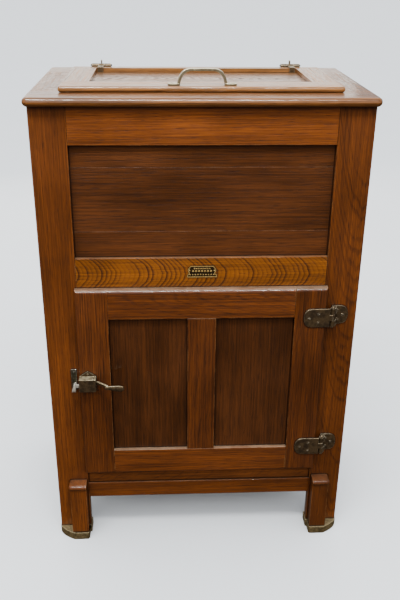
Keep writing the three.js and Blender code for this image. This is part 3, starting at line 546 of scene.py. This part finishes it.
# How a board was sawn: where the pith lies from its middle, across it and along its face axis,
# the drift of the rings along it, and how strongly the rings show.
RIFT = (0.21, 0.17, 0.02, 0.6)
RIFT_BACK = (-0.24, 0.15, -0.03, 0.6)
PLAIN = (0.004, 0.055, 0.22, 1.0)
PLAIN_OFF = (0.03, 0.05, -0.16, 0.9)
PLAIN_FAINT = (0.03, 0.05, -0.16, 0.5)
ARCHED = (0.005, 0.045, 0.42, 1.3)

# Saw cuts stand this far inside an opening, so that none lies in one of the opening's faces.
HAIR = 0.0001

# the openings of the jamb and of the top: half their width, and where their other edges lie
DOORWAY_HALF, DOORWAY_BOTTOM, DOORWAY_TOP = 0.243, 0.214, 0.618
HATCH_HALF, HATCH_FRONT, HATCH_BACK = 0.258, -0.1105, 0.1435

CRACKS = (0.7685, 0.902)  # heights of the cracks between the upper panel's boards
SIDE_STILE = 0.058        # width of a side frame's stiles
# heights between which each rail of a side frame lies
SIDE_RAILS = {"low": (0.090, 0.300), "mid": (0.600, 0.800), "top": (0.900, None)}
BACK_BOARDS = 5

# piece: (node, low and high corner of what is kept of it, grain along, face across, cut, tone)
BOARDS = {}


def board(node, along, face, cut, tone=1.0, name=None, low=(None,) * 3, high=(None,) * 3):
    """Lists a board: the node, or what lies between low and high, where None sets no limit."""
    BOARDS[name or node] = (node, low, high, along, face, cut, tone)


def list_front_boards():
    board("front_stile_left", Z, Y, RIFT, 0.97)
    board("front_stile_right", Z, Y, PLAIN_OFF, 0.94)
    board("front_top_rail", X, Y, RIFT, 1.45)
    board("front_mid_rail", X, Y, ARCHED, 0.97)
    board("front_base_rail", X, Y, RIFT_BACK, 0.95)
    parts = (("lower", RIFT, 1.18), ("middle", RIFT_BACK, 1.06), ("upper", RIFT, 1.15))
    heights = (None, *CRACKS, None)
    for (part, cut, tone), bottom, top in zip(parts, heights, heights[1:]):
        board("front_upper_panel", X, Y, cut, tone, "front_upper_panel_" + part,
              (None, None, bottom), (None, None, top))


def list_jamb_boards():
    half, bottom, top = DOORWAY_HALF - HAIR, DOORWAY_BOTTOM + HAIR, DOORWAY_TOP - HAIR
    # The sill's tone of 2.5 is painted light: it lightens the board against the shade under the
    # door.
    board("door_jamb", X, Y, PLAIN, 2.5, "door_jamb_sill", high=(None, None, bottom))
    board("door_jamb", X, Y, RIFT, 1.0, "door_jamb_head", low=(None, None, top))
    board("door_jamb", Z, Y, RIFT, 1.0, "door_jamb_left", (None, None, bottom),
          (-half, None, top))
    board("door_jamb", Z, Y, RIFT, 1.0, "door_jamb_right", (half, None, bottom),
          (None, None, top))


def list_side_boards():
    for side in ("left", "right"):
        node = "side_frame_" + side
        low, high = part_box(node)
        front, back = low.y + SIDE_STILE + HAIR, high.y - SIDE_STILE - HAIR
        board(node, Z, X, RIFT, 1.0, node + "_front_stile", high=(None, front, None))
        board(node, Z, X, RIFT_BACK, 0.95, node + "_back_stile", low=(None, back, None))
        for rail, (bottom, top) in SIDE_RAILS.items():
            board(node, Y, X, RIFT if rail == "mid" else PLAIN, 1.05, f"{node}_{rail}_rail",
                  (None, front, bottom), (None, back, top))
        board(f"side_panel_{side}_lower", Z, X, PLAIN, 1.0)
        board(f"side_panel_{side}_upper", Z, X, PLAIN_OFF, 1.0)
        board("foot_block_" + side, Z, Y, RIFT, 0.92 if side == "left" else 0.68)


def list_top_boards():
    half, front, back = HATCH_HALF - HAIR, HATCH_FRONT + HAIR, HATCH_BACK - HAIR
    board("top_frame", X, Z, RIFT, 1.0, "top_frame_front", high=(None, front, None))
    board("top_frame", X, Z, RIFT_BACK, 0.95, "top_frame_back", low=(None, back, None))
    board("top_frame", Y, Z, PLAIN, 1.0, "top_frame_left", (None, front, None),
          (-half, back, None))
    board("top_frame", Y, Z, PLAIN_OFF, 1.0, "top_frame_right", (half, front, None),
          (None, back, None))
    board("lid_front_rail", X, Z, RIFT, 1.15)
    board("lid_back_rail", X, Z, RIFT_BACK, 1.0)
    board("lid_stile_left", Y, Z, RIFT, 1.0)
    board("lid_stile_right", Y, Z, RIFT_BACK, 1.0)
    board("lid_panel", X, Z, PLAIN, 0.75)


def list_door_boards():
    board("door_stile_left", Z, Y, RIFT, 1.05)
    board("door_stile_right", Z, Y, RIFT_BACK, 0.92)
    board("door_top_rail", X, Y, PLAIN_FAINT, 1.25)
    board("door_bottom_rail", X, Y, RIFT, 1.38)
    board("door_muntin", Z, Y, RIFT_BACK, 0.95)
    board("door_panel_left", Z, Y, RIFT, 0.89)
    board("door_panel_right", Z, Y, RIFT_BACK, 0.80)


def list_pine_boards():
    low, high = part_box("back_boards")
    width = (high.x - low.x) / BACK_BOARDS
    for i in range(BACK_BOARDS):
        left = low.x + i * width if i else None
        right = low.x + (i + 1) * width if i < BACK_BOARDS - 1 else None
        board("back_boards", Z, Y, PLAIN if i % 2 else PLAIN_OFF, 0.9 + 0.05 * (i % 3),
              f"back_board_{i + 1}", (left, None, None), (right, None, None))
    board("bottom_board", X, Z, PLAIN, 1.0)


def make_boards():
    """Saws each listed board out of its node, so that its grain can run its own way."""
    for seed, (name, facts) in enumerate(BOARDS.items(), 1):
        node, low, high, along, face, cut, tone = facts
        made = own_mesh(node)
        keep_inside(made, low, high)
        ease(made, CRACK_EDGE if node == "front_upper_panel" else WOOD_EDGE)
        piece = finished(made, name + ".board", NODE_SLOT[node], NODE_BODY[node], [node])
        lay_grain(piece, along, face, cut, tone, seed)


CASTINGS = ("dark_bronze", "worn_steel", "aged_brass", "shoe_metal")
LEAF_RIM = 0.0020         # rounding of the door hinges' leaves
CASE_LEAF = 0.0031        # thickness of the leaf on the case


def leaf_fronts():
    """The y of the flat front of each leaf of the door hinges."""
    fronts = {}
    for level in ("upper", "lower"):
        door_leaf = f"door_hinge_{level}_door_leaf"
        fronts[door_leaf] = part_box(door_leaf)[0].y
        fronts[f"door_hinge_{level}_case_leaf"] = FACE_Y - CASE_LEAF
    return fronts


def make_metalwork():
    """Every node that isn't wood becomes one piece."""
    wooden = {facts[0] for facts in BOARDS.values()}
    fronts = leaf_fronts()
    for node in sorted(frame["nodes"]):
        if node in wooden or node == "badge":
            continue
        slot = NODE_SLOT[node]
        made = own_mesh(node)
        if node in fronts:
            round_rim(made, fronts[node], LEAF_RIM)
        if slot in CASTINGS:
            ease(made, METAL_EDGE)
        special = LATCH if node.startswith("latch_") and slot == "dark_bronze" else None
        finished(made, node + ".part", slot, NODE_BODY[node], [node], special)


# ---------------------------------------------------------------- fixings and trim

def circle(made, radius, height, sides, stretch=1.0):
    """Adds a loop of vertices round the Z axis; stretch widens it along X."""
    turns = [2 * math.pi * i / sides for i in range(sides)]
    return [made.verts.new((radius * stretch * math.cos(a), radius * math.sin(a), height))
            for a in turns]


def skin(made, loops):
    """Joins each loop to the next with faces."""
    for low, high in zip(loops, loops[1:]):
        for i in range(len(low)):
            j = (i + 1) % len(low)
            made.faces.new((low[i], low[j], high[j], high[i]))


def facing(normal, centre, turn=0.0):
    """The matrix that moves a shape made along Z to centre, along normal and turned about it."""
    stand = Vector(normal).to_track_quat("Z", "Y").to_matrix().to_4x4()
    return Matrix.Translation(centre) @ stand @ Matrix.Rotation(turn, 4, "Z")


def saw_slot(part, half, depth):
    """Sinks the middle strip, half wide to each side, of the head's upper faces."""
    for sign in (-1, 1):
        geometry = part.verts[:] + part.edges[:] + part.faces[:]
        bmesh.ops.bisect_plane(part, geom=geometry, dist=1e-8, plane_co=(sign * half, 0, 0),
                               plane_no=(1, 0, 0))
    inside = [f for f in part.faces
              if abs(f.calc_center_median().x) < half * 0.99 and f.normal.z > 0.2]
    dropped = bmesh.ops.extrude_face_region(part, geom=inside)["geom"]
    for v in dropped:
        if isinstance(v, bmesh.types.BMVert):
            v.co.z -= depth
    bmesh.ops.delete(part, geom=inside, context="FACES")


def screw_head(made, centre, normal, radius, turn):
    """Adds a domed head with a sawn slot to the bmesh. Its foot is sunk below centre."""
    sides, rings, rise, sunk = 20, 4, 0.28, 0.25
    part = bmesh.new()
    loops = [circle(part, radius, -radius * sunk, sides)]
    for ring in range(rings):
        angle = math.pi / 2 * ring / rings
        loops.append(circle(part, radius * math.cos(angle), radius * rise * math.sin(angle), sides))
    skin(part, loops)
    part.faces.new(loops[-1])
    part.faces.new(loops[0][::-1])
    saw_slot(part, radius * 0.17, radius * 0.22)
    bmesh.ops.transform(part, matrix=facing(normal, centre, turn), verts=part.verts)
    mesh = bpy.data.meshes.new("screw")
    part.to_mesh(mesh)
    part.free()
    made.from_mesh(mesh)
    bpy.data.meshes.remove(mesh)


def screws(name, body, slot, places, normal, radius, seed):
    """One piece holding the screws at each place."""
    turns = random.Random(seed)
    made = bmesh.new()
    for place in places:
        screw_head(made, Vector(place), normal, radius, turns.uniform(0, math.pi))
    finished(made, name, slot, body)


def dome(made, centre, normal, radius, rise, sides=12, rings=3, stretch=1.0):
    """Adds a bead with a flat foot to the bmesh; rise is its height over its radius."""
    loops = []
    for ring in range(rings + 1):
        angle = math.pi / 2 * ring / (rings + 0.7)     # stops short of the pole
        r, h = radius * math.cos(angle), radius * rise * math.sin(angle)
        loops.append(circle(made, r, h, sides, stretch))
    skin(made, loops)
    made.faces.new(loops[-1])
    made.faces.new(loops[0][::-1])
    place = facing(normal, centre)
    bmesh.ops.transform(made, matrix=place, verts=[v for loop in loops for v in loop])


# the badge's rows: rise above its middle, half length, step, sides and radius of each bead
BADGE_ROWS = ((0.0068, 0.0170, 0.0040, 10, 0.0016), (0.0012, 0.0205, 0.0062, 4, 0.0027),
              (-0.0068, 0.0260, 0.0055, 10, 0.0016))


def make_badge():
    """A pressed plate: raised rim, rows of beads and lozenges, and two pins."""
    made = own_mesh("badge")
    field = [f for f in made.faces if f.normal.y < -0.9]
    bmesh.ops.inset_region(made, faces=field, thickness=0.0014)
    bmesh.ops.inset_region(made, faces=field, thickness=0.0005, depth=-0.0006)
    ease(made, BADGE_EDGE)
    low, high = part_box("badge")
    y = low.y + 0.0005
    middle = (low.z + high.z) / 2
    for rise, half, step, sides, radius in BADGE_ROWS:
        count = int(2 * half / step)
        for i in range(count + 1):
            x = (i - count / 2) * step
            dome(made, (x, y, middle + rise), FRONT, radius, 0.32, sides, 2, 1.1)
    for sign in (-1, 1):
        dome(made, (sign * 0.0256, y, middle + 0.0024), FRONT, 0.0016, 0.7)
    finished(made, "badge.part", "aged_brass", "cabinet", ["badge"], PATINA)


# how far in front of the face frame the fixings sit on their metal
DOOR_LEAF_SEAT, CASE_LEAF_SEAT, LATCH_SEAT, STRIKE_SEAT = 0.0206, 0.0030, 0.0205, 0.0028


def hinge_screws():
    """Three in each leaf of the door hinges."""
    x, radius = JOINT_AT["door_hinge"][X], 0.0036
    far, near = FACE_Y - DOOR_LEAF_SEAT, FACE_Y - CASE_LEAF_SEAT
    for n, level in enumerate(("upper", "lower")):
        low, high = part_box(f"door_hinge_{level}_door_leaf")
        z = (low.z + high.z) / 2
        door = [(x - 0.0515, far, z), (x - 0.032, far, z + 0.0102), (x - 0.032, far, z - 0.0102)]
        case = [(x + 0.0125, near, z + 0.0108), (x + 0.0245, near, z),
                (x + 0.0125, near, z - 0.0108)]
        screws(f"screws_{level}_door_leaf", "door", "dark_bronze", door, FRONT, radius, 11 + n)
        screws(f"screws_{level}_case_leaf", "cabinet", "dark_bronze", case, FRONT, radius, 21 + n)


def lid_screws():
    """Two in each hinge foot on the top, two in each strap on the lid, one in each handle ear."""
    for n, side in enumerate(("left", "right")):
        low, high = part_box(f"lid_hinge_{side}_lid_leaf")
        x = (low.x + high.x) / 2
        foot_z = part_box("top_frame")[1].z + 0.0025
        strap_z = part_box("lid_back_rail")[1].z + 0.0025
        foot = [(x + s * 0.013, high.y + 0.0235, foot_z) for s in (-1, 1)]
        strap = [(x, low.y + 0.0105, strap_z), (x, low.y + 0.0215, strap_z)]
        screws(f"screws_{side}_hinge_foot", "cabinet", "dark_bronze", foot, UP, 0.0030, 31 + n)
        screws(f"screws_{side}_hinge_strap", "lid", "dark_bronze", strap, UP, 0.0026, 41 + n)
    low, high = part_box("lid_handle")
    z = low.z + 0.0032
    ears = [(s * (high.x - 0.008), (low.y + high.y) / 2, z) for s in (-1, 1)]
    screws("screws_lid_handle", "lid", "aged_brass", ears, UP, 0.0034, 51)


def latch_fixings():
    """Three screws in the latch's plate, one in its strike, and the head of the lever's pin."""
    low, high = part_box("latch_body")
    seat, middle = FACE_Y - LATCH_SEAT, (low.x + high.x) / 2
    plate = [(middle, seat, high.z - 0.0062)]
    plate += [(middle + s * 0.012, seat, low.z + 0.0030) for s in (-1, 1)]
    screws("screws_latch_plate", "door", "dark_bronze", plate, FRONT, 0.0021, 61)
    left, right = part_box("latch_strike")
    strike = [((left.x + right.x) / 2, FACE_Y - STRIKE_SEAT, right.z - 0.0055)]
    screws("screws_strike", "cabinet", "worn_steel", strike, FRONT, 0.0026, 62)
    pivot = JOINT_AT["latch_lever_pivot"]
    made = bmesh.new()
    dome(made, (pivot[X], pivot[Y], high.z - 0.012), UP, 0.0034, 0.55, 16)
    finished(made, "latch_pivot_pin", "dark_bronze", "door")


def door_felt():
    """The strip round the door's zinc pan that closes on the jamb."""
    low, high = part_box("door_liner")
    near, far = FACE_Y + 0.002, FACE_Y + 0.014
    made = bmesh.new()
    loops = []
    for reach, y in ((0.0002, near), (0.0002, far), (0.0035, far), (0.0035, near)):
        x0, x1, z0, z1 = low.x - reach, high.x + reach, low.z - reach, high.z + reach
        loops.append([made.verts.new((x, y, z))
                      for x, z in ((x0, z0), (x1, z0), (x1, z1), (x0, z1))])
    skin(made, loops + loops[:1])
    ease(made, FELT_EDGE)
    finished(made, "door_felt", "insulation", "door", material=FELT)


def back_nails():
    """Cut nails through the back boards into the frame behind them."""
    low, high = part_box("back_boards")
    width = (high.x - low.x) / BACK_BOARDS
    chance = random.Random(71)
    made = bmesh.new()
    for i in range(BACK_BOARDS):
        for z in (0.115, 0.36, 0.70, high.z - 0.022):
            for s in (-1, 1):
                x = low.x + (i + 0.5) * width + s * (width * 0.34 + chance.uniform(-0.004, 0.004))
                place = (x, high.y - 0.0003, z + chance.uniform(-0.005, 0.005))
                dome(made, place, BACK, 0.0028, 0.32, 10, 2)
    finished(made, "back_nails", "dark_bronze", "cabinet")


def pan_tacks():
    """Tacks that hold the flange of the door's zinc pan."""
    low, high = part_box("door_liner")
    inset, y, columns = 0.006, high.y - 0.0002, 5
    made = bmesh.new()
    for i in range(columns):
        x = low.x + inset + (high.x - low.x - 2 * inset) * i / (columns - 1)
        for z in (low.z + inset, high.z - inset):
            dome(made, (x, y, z), BACK, 0.0026, 0.4, 10, 2)
    finished(made, "pan_tacks", "zinc_sheet", "door")


# ---------------------------------------------------------------- stage

def soft_light(name, place, aim, size, watts, glossy=True, tint=(1, 1, 1), diffuse=True):
    """An unseen panel at place that shines towards aim."""
    light = bpy.data.lights.new(name, "AREA")
    light.shape = "RECTANGLE"
    light.size, light.size_y = size
    light.energy = watts
    light.color = tint
    lamp = bpy.data.objects.new(name, light)
    lamp.location = place
    lamp.rotation_euler = (Vector(aim) - Vector(place)).to_track_quat("-Z", "Y").to_euler()
    lamp.visible_camera = False
    lamp.visible_glossy = glossy
    lamp.visible_diffuse = diffuse
    bpy.context.scene.collection.objects.link(lamp)


def make_floor():
    """A plain pale floor, which the object neither mirrors nor is lit by."""
    made = bmesh.new()
    bmesh.ops.create_grid(made, x_segments=1, y_segments=1, size=60.0)
    mesh = bpy.data.meshes.new("floor")
    made.to_mesh(mesh)
    made.free()
    floor = bpy.data.objects.new("floor", mesh)
    bpy.context.scene.collection.objects.link(floor)
    t = new_material("floor")
    cloud = t.noise(t.place(), 3.0, 4.0, 0.5)
    tint = t.mix(cloud, colour(0.80, 0.835, 0.86), colour(0.83, 0.86, 0.88))
    mesh.materials.append(t.surface(Base_Color=tint, Roughness=t.spread(cloud, 0, 1, 0.75, 0.9)))
    floor.visible_glossy = False
    floor.visible_diffuse = False


def make_lights():
    """A key, a strip that shows only in reflections, a fill that never does, and a rear light."""
    soft_light("key", (-0.4, -1.5, 3.3), (0, -0.1, 0.6), (2.6, 0.2), 85)
    soft_light("strip", (-0.4, -1.5, 3.29), (0, -0.1, 0.6), (2.4, 0.14), 110, diffuse=False)
    soft_light("front", (-0.55, -2.8, 2.5), (-0.1, 0, 1.05), (2.2, 1.2), 28, glossy=False)
    soft_light("rear", (-0.35, 3.0, 1.5), (0, 0, 1.0), (3.0, 1.8), 27, tint=(1.0, 0.95, 0.86))


# (position from nadir to zenith, colour)
SKY = [(0.0, (0.041, 0.033, 0.027)), (0.49, (0.041, 0.033, 0.027)), (0.54, (0.095, 0.097, 0.10)),
       (0.64, (0.21, 0.213, 0.22)), (0.76, (0.95, 0.97, 1.0)), (1.0, (0.95, 0.97, 1.0))]
BACKDROP = (0.95, 0.96, 1.0)
SKY_STRENGTH, BACKDROP_STRENGTH = 2.45, 1.75
CEILING_SHADE = 0.95      # how much darker mirrored surfaces see the ceiling in front


def make_world():
    """A pale dome over a brown ground, seen by the object; the camera sees an even backdrop."""
    world = bpy.data.worlds.new("studio")
    t = Tree(world, "Background")
    way = t.split(t.node("ShaderNodeTexCoord", {}, out=0))
    rise = t.node("ShaderNodeMapRange", {0: way[Z], 1: -1.0, 2: 1.0})
    dome_colour = t.ramp(rise, SKY)
    seen = t.nodes.new("ShaderNodeLightPath").outputs
    camera = seen["Is Camera Ray"]
    ceiling = t.times(t.spread(way[Z], 0.25, 0.55), t.spread(way[Y], 0.75, 0.10))
    ceiling = t.times(t.times(ceiling, CEILING_SHADE), seen["Is Glossy Ray"])
    strength = t.times(t.inverse(ceiling), SKY_STRENGTH)
    strength = t.add(t.times(strength, t.inverse(camera)), t.times(camera, BACKDROP_STRENGTH))
    t.surface(Color=t.mix(camera, dome_colour, colour(*BACKDROP)), Strength=strength)
    bpy.context.scene.world = world


# the photograph's camera, solved from the straight edges of the case: place in metres, angles
# in degrees, the tilt being below the horizon, and lens and film in millimetres
CAMERA_PLACE = (-0.0801, -1.6308, 1.2849)
HEADING, TILT, ROLL = -3.0065, 24.5957, 0.5766
LENS, FILM_HEIGHT = 45.26, 36


def make_camera():
    """Stands in front, a little left of centre, above the top and looking down."""
    camera = bpy.data.cameras.new("camera")
    camera.sensor_fit = "VERTICAL"
    camera.sensor_height = FILM_HEIGHT
    camera.lens = LENS
    viewer = bpy.data.objects.new("camera", camera)
    heading, tilt, roll = (math.radians(a) for a in (HEADING, 90 - TILT, ROLL))
    turn = Matrix.Rotation(heading, 4, "Z") @ Matrix.Rotation(tilt, 4, "X")
    viewer.matrix_world = (Matrix.Translation(CAMERA_PLACE) @ turn
                           @ Matrix.Rotation(roll, 4, "Z"))
    bpy.context.scene.collection.objects.link(viewer)
    bpy.context.scene.camera = viewer


make_floor()
make_world()
make_lights()
make_camera()
list_front_boards()
list_jamb_boards()
list_side_boards()
list_top_boards()
list_door_boards()
list_pine_boards()
make_boards()
make_metalwork()
make_badge()
hinge_screws()
lid_screws()
latch_fixings()
door_felt()
back_nails()
pan_tacks()
